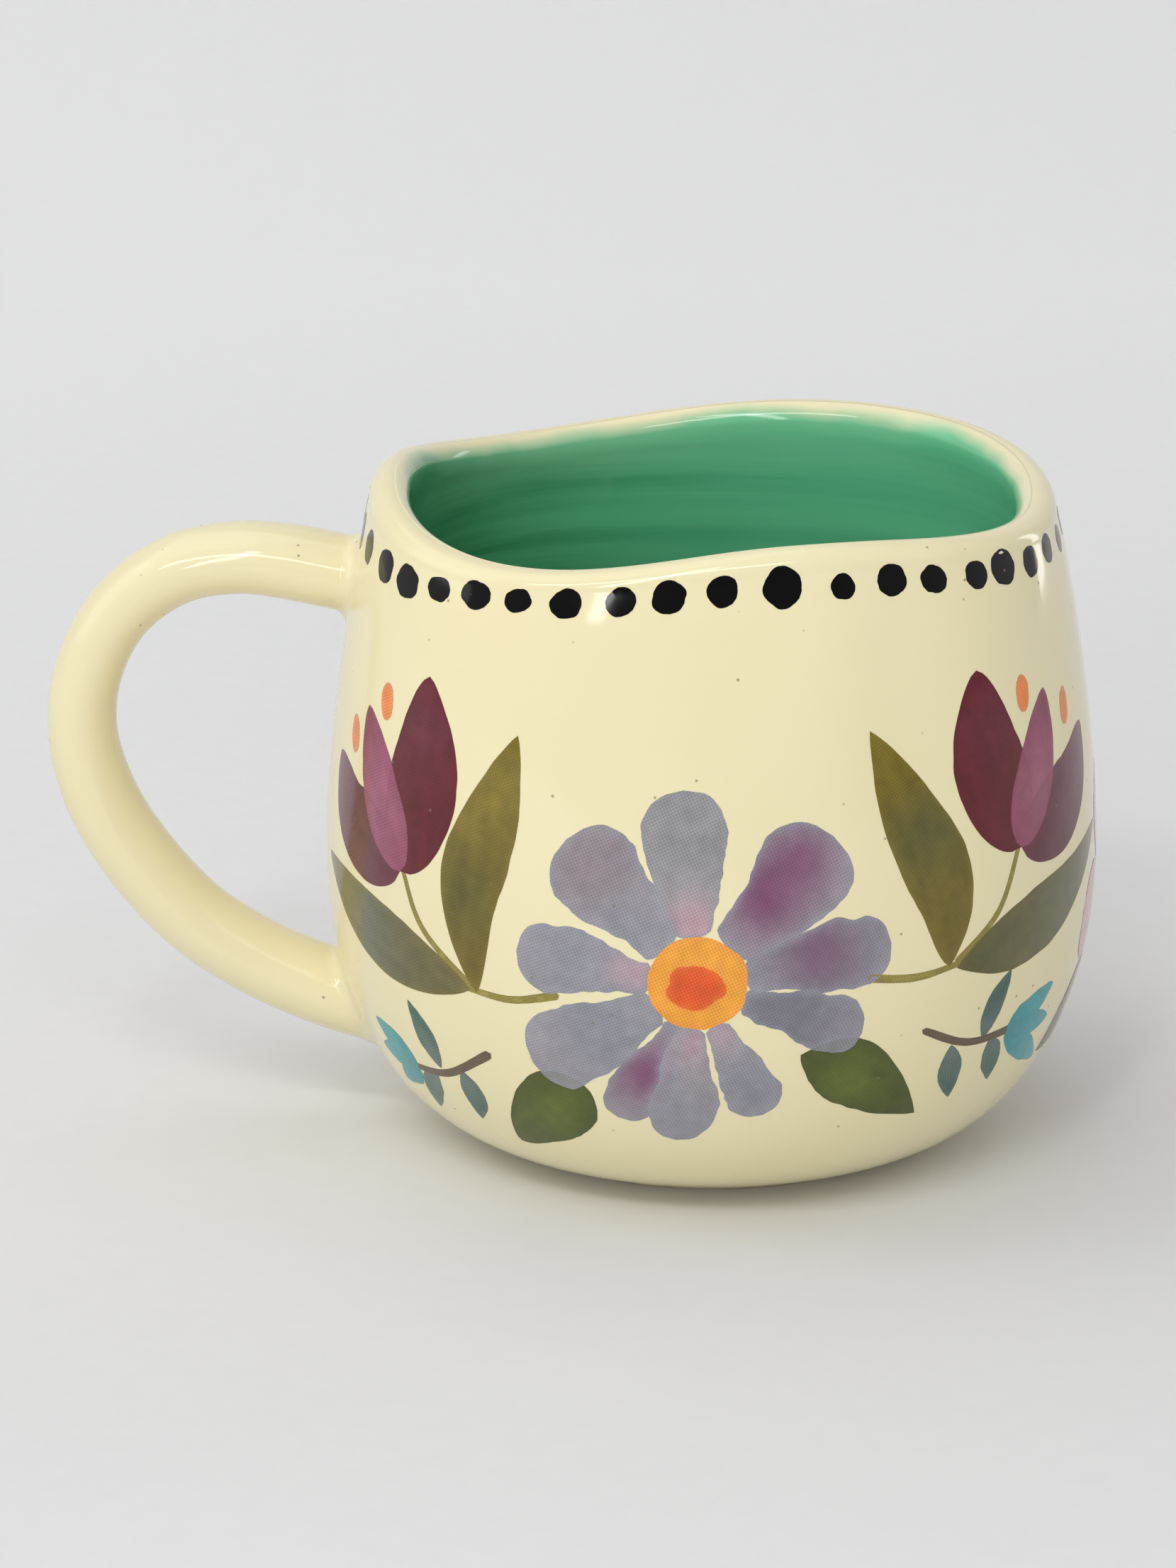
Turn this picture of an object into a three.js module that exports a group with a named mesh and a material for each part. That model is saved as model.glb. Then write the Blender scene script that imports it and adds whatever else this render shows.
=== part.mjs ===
// Stoneware mug with a hand-formed wavy rim, a pulled loop handle and a green inner glaze.
// Millimetres, +Z up. The origin is the middle of the foot on the table, the handle is on -X
// and the drinker's side of the painting faces -Y.

import * as THREE from 'three';

// ---------------------------------------------------------------------------
// Driving dimensions
// ---------------------------------------------------------------------------

// outer wall, as two Bezier curves: base to belly, and belly to lip
const bellyRadius = 50;
const bellyHeight = 39.4;
const baseRadius = 25.6;         // the wall starts to curve up here
const baseHeight = 1.2;          // the glazed wall stops this far above the table
const baseSwing = 38.5;          // radius that the lower curve aims for as it leaves the base
const lowerPull = 14.1;          // height from which it turns up into the belly
const upperPull = 55.8;          // height at which the belly starts to lean in
const lipRadius = 44.2;          // outside of the lip, before the rim's waves
const lipLeanRadius = 46.2;
const lipLeanHeight = 76.4;
const rimHeight = 86.5;          // crest of the lip, before the rim's waves

const wallThickness = 5.2;
const floorThickness = 5.4;
const floorCornerRadius = 16;    // the inner floor sweeps up into the wall

// the hand-formed rim: the plan is pushed in and out, and the crest rises and falls
const planWaveStart = 20;        // height above which the plan waves fade in
const planWaves = [
  { lobes: 2, amount: 0.019, peak: 15 },
  { lobes: 3, amount: 0.012, peak: -25 },
  { lobes: 4, amount: 0.032, peak: 43 },
];
const crestWaveStart = 45;
const crestWaves = [
  { lobes: 1, amount: 1.13, peak: 72 },
  { lobes: 2, amount: 0.37, peak: 11 },
  { lobes: 3, amount: 1.56, peak: 57 },
  { lobes: 4, amount: 0.61, peak: 4 },
];

// inner glaze coat
const linerThickness = 0.6;
const linerBelowCrest = 4.2;

// bare clay foot
const footRadius = 27;
const footHeight = 0.9;

// handle
const handleWidth = 13;
const handleThickness = 9.6;
const handleNeck = 0.90;         // thinnest part of the loop, near its top left shoulder
const handleSwell = 1.06;        // the loop fattens again towards the lower joint
const handleLine = [
  [-49.3, 74.6], [-55, 75.7], [-60.8, 76.1], [-68.5, 74.6], [-75.6, 69.5], [-80.0, 61.8],
  [-81.2, 53.5], [-79.2, 44.8], [-74.6, 36.5], [-67.2, 28.0], [-59.0, 22.4], [-50.9, 18.7],
];

// slip fillets that seal the handle to the wall
const filletFlare = 1.14;        // section at the wall, compared with the handle's

const touchGap = 0.3;            // kept between pieces that touch

// mesh fineness
const sidesAround = 56;
const stepsPerCurve = 9;
const stepsRoundLip = 6;
const stepsRoundFloor = 5;
const handleSides = 7;           // per half turn of the section
const handleSteps = 38;
const filletSteps = 4;
const filletEndRings = 4;

// ---------------------------------------------------------------------------
// Finishes
// ---------------------------------------------------------------------------

const creamGlaze = () => new THREE.MeshStandardMaterial({ color: 0xece3bd, roughness: 0.16, metalness: 0 });
const greenGlaze = () => new THREE.MeshStandardMaterial({ color: 0x3f9669, roughness: 0.2, metalness: 0 });
const bareClay = () => new THREE.MeshStandardMaterial({ color: 0xcdbb97, roughness: 0.85, metalness: 0 });

// ---------------------------------------------------------------------------
// Shape helpers
// ---------------------------------------------------------------------------

const smoothStep = (value) => {
  const t = THREE.MathUtils.clamp(value, 0, 1);
  return t * t * (3 - 2 * t);
};

const waveSum = (waves, angle) => waves.reduce(
  (sum, wave) => sum + wave.amount * Math.cos(wave.lobes * (angle - THREE.MathUtils.degToRad(wave.peak))),
  0,
);

// The waves are strongest at the rim and fade out down the wall.
const planFade = (height) => smoothStep((height - planWaveStart) / (rimHeight - planWaveStart));
const crestFade = (height) => THREE.MathUtils.clamp(
  (height - crestWaveStart) / (rimHeight - crestWaveStart), 0, 1,
) ** 3;

// Moves one point of a truly round cup to its place on the hand-formed one.
function handFormed(point) {
  const angle = Math.atan2(point.y, point.x);
  const stretch = 1 + planFade(point.z) * waveSum(planWaves, angle);
  return new THREE.Vector3(
    point.x * stretch,
    point.y * stretch,
    point.z + crestFade(point.z) * waveSum(crestWaves, angle),
  );
}

// Outer wall from base to just under the lip, as (radius, height) points.
function outerWall() {
  const lower = new THREE.CubicBezierCurve(
    new THREE.Vector2(baseRadius, baseHeight),
    new THREE.Vector2(baseSwing, baseHeight),
    new THREE.Vector2(bellyRadius, lowerPull),
    new THREE.Vector2(bellyRadius, bellyHeight),
  );
  const upper = new THREE.CubicBezierCurve(
    new THREE.Vector2(bellyRadius, bellyHeight),
    new THREE.Vector2(bellyRadius, upperPull),
    new THREE.Vector2(lipLeanRadius, lipLeanHeight),
    new THREE.Vector2(lipRadius, rimHeight - wallThickness / 2),
  );
  return [...lower.getPoints(stepsPerCurve), ...upper.getPoints(stepsPerCurve).slice(1)];
}

// The same wall moved inwards by a distance, square to its surface.
function offsetWall(distance) {
  const wall = outerWall();
  return wall.map((point, index) => {
    const before = wall[Math.max(index - 1, 0)];
    const after = wall[Math.min(index + 1, wall.length - 1)];
    const along = after.clone().sub(before).normalize();
    return new THREE.Vector2(point.x - along.y * distance, point.y + along.x * distance);
  });
}

// Half round lip that joins the outer wall to the inner one, without its two end points.
function lipArc() {
  const radius = wallThickness / 2;
  const centre = new THREE.Vector2(lipRadius - radius, rimHeight - radius);
  const points = [];
  for (let step = 1; step < stepsRoundLip; step += 1) {
    const turn = (Math.PI * step) / stepsRoundLip;
    points.push(new THREE.Vector2(centre.x + radius * Math.cos(turn), centre.y + radius * Math.sin(turn)));
  }
  return points;
}

// Hollow of the cup from its rim down to the middle of the floor, shrunk by a clearance.
function innerWall(clearance, topHeight) {
  const floorHeight = baseHeight + floorThickness + clearance;
  const wall = offsetWall(wallThickness + clearance).reverse();
  const side = wall.filter((point) => point.y < topHeight && point.y > floorHeight + floorCornerRadius);
  const corner = side[side.length - 1];
  const sweep = new THREE.CubicBezierCurve(
    corner,
    new THREE.Vector2(corner.x, floorHeight + floorCornerRadius * 0.45),
    new THREE.Vector2(corner.x - floorCornerRadius * 0.5, floorHeight),
    new THREE.Vector2(corner.x - floorCornerRadius * 1.1, floorHeight),
  );
  return [...side, ...sweep.getPoints(stepsRoundFloor).slice(1), new THREE.Vector2(0, floorHeight)];
}

// Turns a (radius, height) outline about the cup's axis and gives it the hand-formed shape.
function turnedAndFormed(outline) {
  const geometry = new THREE.LatheGeometry(outline, sidesAround);
  geometry.rotateX(Math.PI / 2);
  const position = geometry.getAttribute('position');
  const point = new THREE.Vector3();
  for (let index = 0; index < position.count; index += 1) {
    point.fromBufferAttribute(position, index);
    const formed = handFormed(point);
    position.setXYZ(index, formed.x, formed.y, formed.z);
  }
  geometry.computeVertexNormals();
  return geometry;
}

// Oval bar along a curve in the XZ plane; sectionScale(t) swells it, with t from 0 to 1.
function ovalBar(curve, steps, sectionScale) {
  const section = new THREE.Shape();
  section.absellipse(0, 0, handleWidth / 2, handleThickness / 2, 0, Math.PI * 2);
  const geometry = new THREE.ExtrudeGeometry(section, { steps, curveSegments: handleSides, extrudePath: curve });
  const stations = curve.getSpacedPoints(steps);
  const position = geometry.getAttribute('position');
  const point = new THREE.Vector3();
  const inPlane = new THREE.Vector3();
  for (let index = 0; index < position.count; index += 1) {
    point.fromBufferAttribute(position, index);
    inPlane.set(point.x, 0, point.z);
    let nearest = 0;
    stations.forEach((station, stationIndex) => {
      if (station.distanceTo(inPlane) < stations[nearest].distanceTo(inPlane)) nearest = stationIndex;
    });
    const swollen = point.sub(stations[nearest]).multiplyScalar(sectionScale(nearest / steps)).add(stations[nearest]);
    position.setXYZ(index, swollen.x, swollen.y, swollen.z);
  }
  geometry.computeVertexNormals();
  return geometry;
}

// Radius of the hand-formed outer wall at a place's own height and direction.
function wallRadius(place) {
  const angle = Math.atan2(place.y, place.x);
  const rise = waveSum(crestWaves, angle);
  let height = place.z;
  for (let pass = 0; pass < 3; pass += 1) height = place.z - crestFade(height) * rise;
  const wall = outerWall();
  const above = wall.findIndex((point) => point.y > height);
  const share = (height - wall[above - 1].y) / (wall[above].y - wall[above - 1].y);
  const radius = THREE.MathUtils.lerp(wall[above - 1].x, wall[above].x, share);
  return radius * (1 + planFade(height) * waveSum(planWaves, angle));
}

// How far a straight line can run from a place outside the cup before it is a gap away from the wall.
function reachToWall(place, direction) {
  let near = 0;
  let far = 2 * handleWidth;
  while (far - near > 0.001) {
    const middle = (near + far) / 2;
    const probe = place.clone().addScaledVector(direction, middle);
    if (Math.hypot(probe.x, probe.y) > wallRadius(probe) + touchGap) near = middle;
    else far = middle;
  }
  return near;
}

// ---------------------------------------------------------------------------
// Pieces
// ---------------------------------------------------------------------------

function cupBody() {
  return turnedAndFormed([
    new THREE.Vector2(0, baseHeight),
    ...outerWall(),
    ...lipArc(),
    ...innerWall(0, rimHeight),
  ]);
}

function innerGlaze() {
  const top = rimHeight - linerBelowCrest;
  const outside = innerWall(touchGap, top).reverse();
  const inside = innerWall(touchGap + linerThickness, top);
  return turnedAndFormed([...outside, ...inside]);
}

function foot() {
  const geometry = new THREE.CylinderGeometry(footRadius, footRadius - 0.5, footHeight, sidesAround);
  geometry.rotateX(Math.PI / 2);
  geometry.translate(0, 0, footHeight / 2);
  return geometry;
}

function handleCurve() {
  return new THREE.CatmullRomCurve3(handleLine.map(([x, z]) => new THREE.Vector3(x, 0, z)), false, 'centripetal');
}

// How much thicker or thinner the loop is at a place along it.
function handleSection(t) {
  const neck = Math.sin(Math.PI * THREE.MathUtils.clamp(t / 0.62, 0, 1)) ** 2;
  const swell = smoothStep((t - 0.55) / 0.45);
  return 1 - (1 - handleNeck) * neck + (handleSwell - 1) * swell;
}

function handle() {
  return ovalBar(handleCurve(), handleSteps, handleSection);
}

// A cylinder of radius 1 and height 1 whose ends are ringed, so that they can be bent.
function unitBarrel() {
  const outline = [];
  for (let step = 0; step < filletEndRings; step += 1) outline.push(new THREE.Vector2(step / filletEndRings, 0));
  for (let step = 0; step < filletSteps; step += 1) outline.push(new THREE.Vector2(1, step / filletSteps));
  for (let step = filletEndRings; step >= 0; step -= 1) outline.push(new THREE.Vector2(step / filletEndRings, 1));
  return new THREE.LatheGeometry(outline, 2 * handleSides);
}

// A short flared collar of slip between one end of the handle and the wall, which it fits.
function slipFillet(end) {
  const curve = handleCurve();
  const towardsWall = curve.getTangent(end).multiplyScalar(end === 0 ? -1 : 1);
  const start = curve.getPoint(end).addScaledVector(towardsWall, touchGap);
  const across = new THREE.Vector3(0, 1, 0);
  const upwards = new THREE.Vector3().crossVectors(across, towardsWall);
  const geometry = unitBarrel();
  const position = geometry.getAttribute('position');
  for (let index = 0; index < position.count; index += 1) {
    const share = position.getY(index);
    const section = handleSection(end) * (1 + (filletFlare - 1) * smoothStep(share));
    const place = start.clone()
      .addScaledVector(across, position.getX(index) * section * (handleWidth / 2))
      .addScaledVector(upwards, position.getZ(index) * section * (handleThickness / 2));
    place.addScaledVector(towardsWall, share * reachToWall(place, towardsWall));
    position.setXYZ(index, place.x, place.y, place.z);
  }
  geometry.computeVertexNormals();
  return geometry;
}

// ---------------------------------------------------------------------------
// Assembly
// ---------------------------------------------------------------------------

const mug = new THREE.Group();

function addPiece(name, geometry, material) {
  const mesh = new THREE.Mesh(geometry, material);
  mesh.name = name;
  mug.add(mesh);
}

addPiece('cup_body', cupBody(), creamGlaze());
addPiece('inner_glaze', innerGlaze(), greenGlaze());
addPiece('foot', foot(), bareClay());
addPiece('handle', handle(), creamGlaze());
addPiece('upper_slip_fillet', slipFillet(0), creamGlaze());
addPiece('lower_slip_fillet', slipFillet(1), creamGlaze());

export default mug;
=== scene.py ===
"""A painted stoneware mug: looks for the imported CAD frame.

Lengths are in millimetres until a mesh is made; the frame itself is in metres.
+Z is up, the handle is on -X and the painted flower faces -Y.
"""
import math
import random

import bpy
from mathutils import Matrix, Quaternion, Vector, kdtree, noise
from mathutils.geometry import delaunay_2d_cdt, interpolate_bezier


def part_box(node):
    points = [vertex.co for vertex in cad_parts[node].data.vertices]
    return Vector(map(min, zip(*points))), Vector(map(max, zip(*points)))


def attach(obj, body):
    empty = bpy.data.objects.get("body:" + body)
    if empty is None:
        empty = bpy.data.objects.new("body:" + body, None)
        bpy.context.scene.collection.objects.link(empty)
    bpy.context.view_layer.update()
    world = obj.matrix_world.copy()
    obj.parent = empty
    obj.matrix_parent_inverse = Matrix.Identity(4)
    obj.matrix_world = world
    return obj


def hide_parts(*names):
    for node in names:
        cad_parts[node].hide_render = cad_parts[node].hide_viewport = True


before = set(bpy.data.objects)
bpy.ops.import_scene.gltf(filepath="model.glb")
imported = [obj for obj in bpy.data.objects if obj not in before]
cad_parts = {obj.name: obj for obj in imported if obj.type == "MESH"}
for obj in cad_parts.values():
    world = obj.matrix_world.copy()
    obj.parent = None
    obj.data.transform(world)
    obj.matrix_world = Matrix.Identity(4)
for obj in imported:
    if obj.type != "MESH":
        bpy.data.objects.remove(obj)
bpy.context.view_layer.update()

MM = 0.001
FRONT = math.radians(-90)

# ----------------
# Shape of the cup, the same as the CAD's

BELLY_RADIUS = 50.0
BELLY_HEIGHT = 39.4
BASE_RADIUS = 25.6
BASE_HEIGHT = 1.2
BASE_SWING = 38.5
LOWER_PULL = 14.1
UPPER_PULL = 55.8
LIP_RADIUS = 44.2
LIP_LEAN = (46.2, 76.4)
RIM_HEIGHT = 86.5
WALL = 5.2
FLOOR_THICKNESS = 5.4
FLOOR_CORNER = 16.0
FLOOR_SWEEP = (0.45, 0.5, 1.1)      # the corner curve's two pulls and its end, as shares of FLOOR_CORNER
FLOOR_RINGS = 8

# Waves round the cup: number of lobes, amount and where the first peak is, in degrees.
# In plan the amount is a share of the radius, and in the crest it is millimetres of height.
PLAN_WAVE_START = 20.0
PLAN_WAVES = ((2, 0.019, 15), (3, 0.012, -25), (4, 0.032, 43))
CREST_WAVE_START = 45.0
CREST_WAVES = ((1, 1.13, 72), (2, 0.37, 11), (3, 1.56, 57), (4, 0.61, 4))

# shallow presses left by the maker's hands: degrees from the front, height, width, tallness, depth
DENT_FADE_RADIUS = 20.0
DENTS = (
    (29, 66, 7.0, 20.0, 0.60),
    (18, 62, 6.0, 22.0, -0.25),
    (-16, 62, 5.0, 22.0, 0.22),
    (-48, 58, 9.0, 22.0, 0.25),
    (118, 60, 9.0, 24.0, 0.35),
    (190, 55, 10.0, 20.0, 0.30),
)


def clamp01(value):
    return min(max(value, 0.0), 1.0)


def smooth_step(value):
    t = clamp01(value)
    return t * t * (3 - 2 * t)


def wave_sum(waves, angle):
    total = 0
    for lobes, amount, peak in waves:
        total += amount * math.cos(lobes * (angle - math.radians(peak)))
    return total


def crest_fade(height):
    return clamp01((height - CREST_WAVE_START) / (RIM_HEIGHT - CREST_WAVE_START)) ** 3


def dent_depth(angle, height):
    depth = 0.0
    for degrees, middle, width, tallness, deep in DENTS:
        turn = math.remainder(angle - FRONT - math.radians(degrees), 2 * math.pi) * BELLY_RADIUS
        depth += deep * math.exp(-(turn / width) ** 2 - ((height - middle) / tallness) ** 2)
    return depth


def hand_formed(radius, height, angle):
    """A point of a truly round cup, moved to its place on the hand-formed one."""
    plan_fade = smooth_step((height - PLAN_WAVE_START) / (RIM_HEIGHT - PLAN_WAVE_START))
    stretch = 1 + plan_fade * wave_sum(PLAN_WAVES, angle)
    reach = radius * stretch - dent_depth(angle, height) * clamp01(radius / DENT_FADE_RADIUS)
    lift = crest_fade(height) * wave_sum(CREST_WAVES, angle)
    return Vector((reach * math.cos(angle), reach * math.sin(angle), height + lift))


def bezier(points, steps):
    return [Vector(p) for p in interpolate_bezier(*[Vector((x, y, 0)) for x, y in points], steps + 1)]


def outer_wall(steps):
    lower = bezier([(BASE_RADIUS, BASE_HEIGHT), (BASE_SWING, BASE_HEIGHT),
                    (BELLY_RADIUS, LOWER_PULL), (BELLY_RADIUS, BELLY_HEIGHT)], steps)
    upper = bezier([(BELLY_RADIUS, BELLY_HEIGHT), (BELLY_RADIUS, UPPER_PULL),
                    LIP_LEAN, (LIP_RADIUS, RIM_HEIGHT - WALL / 2)], steps)
    return lower + upper[1:]


def inner_wall(steps, clearance=0.0):
    """The hollow of the cup, from under the lip down to the middle of the floor."""
    wall = outer_wall(steps)
    floor = BASE_HEIGHT + FLOOR_THICKNESS + clearance
    side = []
    for before, point, after in zip(wall, wall[1:], wall[2:]):
        along = (after - before).normalized()
        inward = Vector((-along.y, along.x, 0)) * (WALL + clearance)
        if point.y > floor + FLOOR_CORNER:
            side.append(point + inward)
    side.reverse()
    corner = side[-1]
    drop, pull, end = (FLOOR_CORNER * share for share in FLOOR_SWEEP)
    sweep = bezier([(corner.x, corner.y), (corner.x, floor + drop),
                    (corner.x - pull, floor), (corner.x - end, floor)], steps // 2)
    last = sweep[-1]
    flat = [Vector((last.x * (1 - k / FLOOR_RINGS), floor, 0)) for k in range(1, FLOOR_RINGS + 1)]
    return side + sweep[1:] + flat


def lip_arc(steps):
    radius = WALL / 2
    middle = Vector((LIP_RADIUS - radius, RIM_HEIGHT - radius, 0))
    turns = [math.pi * k / steps for k in range(1, steps)]
    return [middle + radius * Vector((math.cos(t), math.sin(t), 0)) for t in turns]


class WallMap:
    """The outer wall by distance along it: 0 at the belly, growing towards the rim."""

    WALL_STEPS = 150
    LIP_STEPS = 24
    NORMAL_STEP = 0.25

    def __init__(self):
        self.points = outer_wall(self.WALL_STEPS) + lip_arc(self.LIP_STEPS)[:self.LIP_STEPS // 2]
        self.along = [0.0]
        for before, after in zip(self.points, self.points[1:]):
            self.along.append(self.along[-1] + (after - before).length)
        belly = self.along[self.WALL_STEPS]
        self.along = [distance - belly for distance in self.along]

    def at(self, distance):
        low, high = 0, len(self.along) - 1
        while high - low > 1:
            middle = (low + high) // 2
            if self.along[middle] <= distance:
                low = middle
            else:
                high = middle
        share = (distance - self.along[low]) / (self.along[high] - self.along[low])
        return self.points[low].lerp(self.points[high], share)

    def surface(self, angle, distance):
        place = self.at(distance)
        return hand_formed(place.x, place.y, angle)

    def normal(self, angle, distance):
        step = self.NORMAL_STEP
        turn = step / BELLY_RADIUS
        around = self.surface(angle + turn, distance) - self.surface(angle - turn, distance)
        upward = self.surface(angle, distance + step) - self.surface(angle, distance - step)
        return around.cross(upward).normalized()


WALL_MAP = WallMap()


# ----------------
# Mesh helpers

def mesh_object(name, vertices, faces):
    """A smooth-shaded object from points in millimetres."""
    mesh = bpy.data.meshes.new(name)
    mesh.from_pydata([tuple(v * MM) for v in vertices], [], faces)
    mesh.validate()
    mesh.shade_smooth()
    obj = bpy.data.objects.new(name, mesh)
    bpy.context.scene.collection.objects.link(obj)
    return obj


def direction_at(line, index):
    """Direction of a line of places at one of them."""
    following = line[min(index + 1, len(line) - 1)]
    previous = line[max(index - 1, 0)]
    return (following - previous).normalized()


ON_AXIS = 0.001


def turned(outline, sides):
    """Vertices and faces of a (radius, height) outline turned about the cup's axis.
    An end of the outline on the axis becomes one point."""
    vertices, rows = [], []
    angles = [FRONT + 2 * math.pi * k / sides for k in range(sides)]
    for point in outline:
        if point.x < ON_AXIS:
            rows.append([len(vertices)] * sides)
            vertices.append(Vector((0, 0, point.y)))
            continue
        rows.append([len(vertices) + k for k in range(sides)])
        vertices += [hand_formed(point.x, point.y, angle) for angle in angles]
    faces = []
    for lower, upper in zip(rows, rows[1:]):
        for k in range(sides):
            corners = [lower[k], lower[(k + 1) % sides], upper[(k + 1) % sides], upper[k]]
            faces.append(list(dict.fromkeys(corners)))
    return vertices, faces


# ----------------
# Material helpers

class Shader:
    """A material and the few calls that wire its nodes."""

    def __init__(self, name):
        self.material = bpy.data.materials.new(name)
        self.material.use_nodes = True
        self.tree = self.material.node_tree
        self.surface = self.tree.nodes["Principled BSDF"]

    def node(self, kind, inputs=None, **settings):
        node = self.tree.nodes.new(kind)
        for key, value in settings.items():
            setattr(node, key, value)
        for key, value in (inputs or {}).items():
            self.feed(node.inputs[key], value)
        return node

    def feed(self, socket, value):
        if isinstance(value, bpy.types.NodeSocket):
            self.tree.links.new(value, socket)
        else:
            socket.default_value = value

    def coordinates(self, stretch=(1, 1, 1)):
        place = self.node("ShaderNodeTexCoord").outputs["Object"]
        return self.node("ShaderNodeMapping", {"Vector": place, "Scale": stretch}).outputs["Vector"]

    def noise(self, scale, detail=2.0, vector=None, roughness=0.5):
        vector = vector or self.coordinates()
        inputs = {"Vector": vector, "Scale": scale, "Detail": detail, "Roughness": roughness}
        return self.node("ShaderNodeTexNoise", inputs).outputs["Fac"]

    def remap(self, value, low, high, new_low=0.0, new_high=1.0):
        inputs = {"Value": value, "From Min": low, "From Max": high,
                  "To Min": new_low, "To Max": new_high}
        return self.node("ShaderNodeMapRange", inputs, clamp=True).outputs["Result"]

    def math(self, operation, first, second=0.0):
        return self.node("ShaderNodeMath", {0: first, 1: second}, operation=operation).outputs["Value"]

    def mix(self, share, first, second, blend="MIX"):
        inputs = {0: share, 6: first, 7: second}
        node = self.node("ShaderNodeMix", inputs, data_type="RGBA", blend_type=blend)
        return node.outputs[2]

    def attribute(self, name, output="Color"):
        return self.node("ShaderNodeAttribute", attribute_name=name).outputs[output]

    def bump(self, height, distance):
        bumps = self.node("ShaderNodeBump", {"Height": height, "Distance": distance})
        self.feed(self.surface.inputs["Normal"], bumps.outputs["Normal"])


CREAM = (0.86, 0.785, 0.50, 1)
CREAM_WARM = (0.83, 0.725, 0.42, 1)
SPECK = (0.20, 0.15, 0.09, 1)
SPECK_CELLS = 400.0                 # cells per metre, each of which may hold one speck
SPECK_RARITY = 0.80                 # share of the cells that stay clean
SPECK_STRENGTH = 0.7


def add_specks(shader, colour):
    """Small iron specks and pinholes in the clay that show through the glaze."""
    spread = {"Vector": shader.coordinates(), "Scale": SPECK_CELLS, "Randomness": 1.0}
    cells = shader.node("ShaderNodeTexVoronoi", spread).outputs
    draw = shader.node("ShaderNodeSeparateColor", {0: cells["Color"]}).outputs["Red"]
    chosen = shader.remap(draw, SPECK_RARITY, SPECK_RARITY + 0.02)
    near = shader.remap(cells["Distance"], 0.05, 0.10, 1.0, 0.0)
    share = shader.math("MULTIPLY", shader.math("MULTIPLY", chosen, near), SPECK_STRENGTH)
    return shader.mix(share, colour, SPECK)


RIPPLE_DEPTH = 0.00022              # metres
PEEL_SHARE = 0.02                   # how deep the fine orange peel is beside the broad ripple
GLOSS_ROUGHNESS = (0.07, 0.12)


def glaze_gloss(shader):
    """The clear, slightly rippled gloss that every glazed surface shares."""
    ripple = shader.noise(70.0, 1.0)
    peel = shader.noise(420.0, 1.0)
    height = shader.math("ADD", ripple, shader.math("MULTIPLY", peel, PEEL_SHARE))
    shader.bump(height, RIPPLE_DEPTH)
    roughness = shader.remap(shader.noise(160.0), 0.3, 0.7, *GLOSS_ROUGHNESS)
    shader.feed(shader.surface.inputs["Roughness"], roughness)
    shader.surface.inputs["IOR"].default_value = 1.5
    shader.surface.inputs["Specular IOR Level"].default_value = 0.40


def cream_glaze():
    shader = Shader("cream_glaze")
    cloud = shader.remap(shader.noise(22.0, 2.0), 0.35, 0.70, 0.0, 0.30)
    pooled = shader.remap(shader.noise(75.0, 2.0), 0.55, 0.75, 0.0, 0.12)
    colour = shader.mix(shader.math("ADD", cloud, pooled), CREAM, CREAM_WARM)
    shader.feed(shader.surface.inputs["Base Color"], add_specks(shader, colour))
    glaze_gloss(shader)
    return shader.material


GREEN_DEEP = (0.045, 0.28, 0.115, 1)
GREEN = (0.125, 0.50, 0.245, 1)
GREEN_PALE = (0.30, 0.70, 0.42, 1)
GREEN_PAINTED_SHADE = (0.012, 0.13, 0.045, 1)
GREEN_PAINTED_LIGHT = (0.16, 0.64, 0.36, 1)


def green_glaze():
    """Brushed round the inside, so it is streaked level with the rim, and thins to cream at the lip.
    It is painted darker on the handle's side as painted shade, and paler across from it as painted light."""
    shader = Shader("green_glaze")
    streaks = shader.noise(1.0, 4.0, shader.coordinates((7, 7, 230)), 0.62)
    bands = shader.noise(1.0, 2.0, shader.coordinates((12, 12, 70)))
    colour = shader.mix(shader.remap(streaks, 0.36, 0.60), GREEN_DEEP, GREEN)
    colour = shader.mix(shader.remap(bands, 0.46, 0.66, 0.0, 0.60), colour, GREEN_PALE)
    axes = shader.node("ShaderNodeSeparateXYZ", {0: shader.coordinates()}).outputs
    lean = shader.math("ADD", axes["X"], axes["Y"])
    # painted shade: the inside is painted darker towards the handle's side and the front
    colour = shader.mix(shader.remap(lean, -0.045, 0.005, 0.9, 0.0), colour, GREEN_PAINTED_SHADE)
    # painted light: the inside is painted paler towards the far side and the back
    colour = shader.mix(shader.remap(lean, 0.0, 0.05, 0.0, 0.65), colour, GREEN_PAINTED_LIGHT)
    thin = shader.attribute("thin", "Fac")
    edge = shader.math("ADD", thin, shader.remap(shader.noise(55.0, 3.0), 0.3, 0.7, -0.22, 0.14))
    colour = shader.mix(shader.remap(edge, 0.05, 0.75, 0.0, 0.75), colour, GREEN_PALE)
    colour = shader.mix(shader.remap(edge, 0.42, 0.80), colour, CREAM)
    shader.feed(shader.surface.inputs["Base Color"], colour)
    glaze_gloss(shader)
    return shader.material


CLAY_DARK = (0.56, 0.45, 0.30, 1)
CLAY_PALE = (0.68, 0.58, 0.42, 1)


def bare_clay():
    shader = Shader("bare_clay")
    coarse = shader.noise(260.0, 4.0)
    colour = shader.mix(shader.remap(coarse, 0.35, 0.65), CLAY_DARK, CLAY_PALE)
    shader.feed(shader.surface.inputs["Base Color"], add_specks(shader, colour))
    shader.feed(shader.surface.inputs["Roughness"], shader.remap(coarse, 0.3, 0.7, 0.75, 0.95))
    shader.bump(shader.noise(900.0, 4.0), 0.0003)
    return shader.material


SCREEN_PITCH = 0.27                 # mm between the print's screen dots
SCREEN_TILT = 20
FLAT_UNIT = 100.0                   # mm of paint per unit of the flat UV map
SCREEN_TURNS = 2 * math.pi * FLAT_UNIT / (2 * SCREEN_PITCH)


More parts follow.
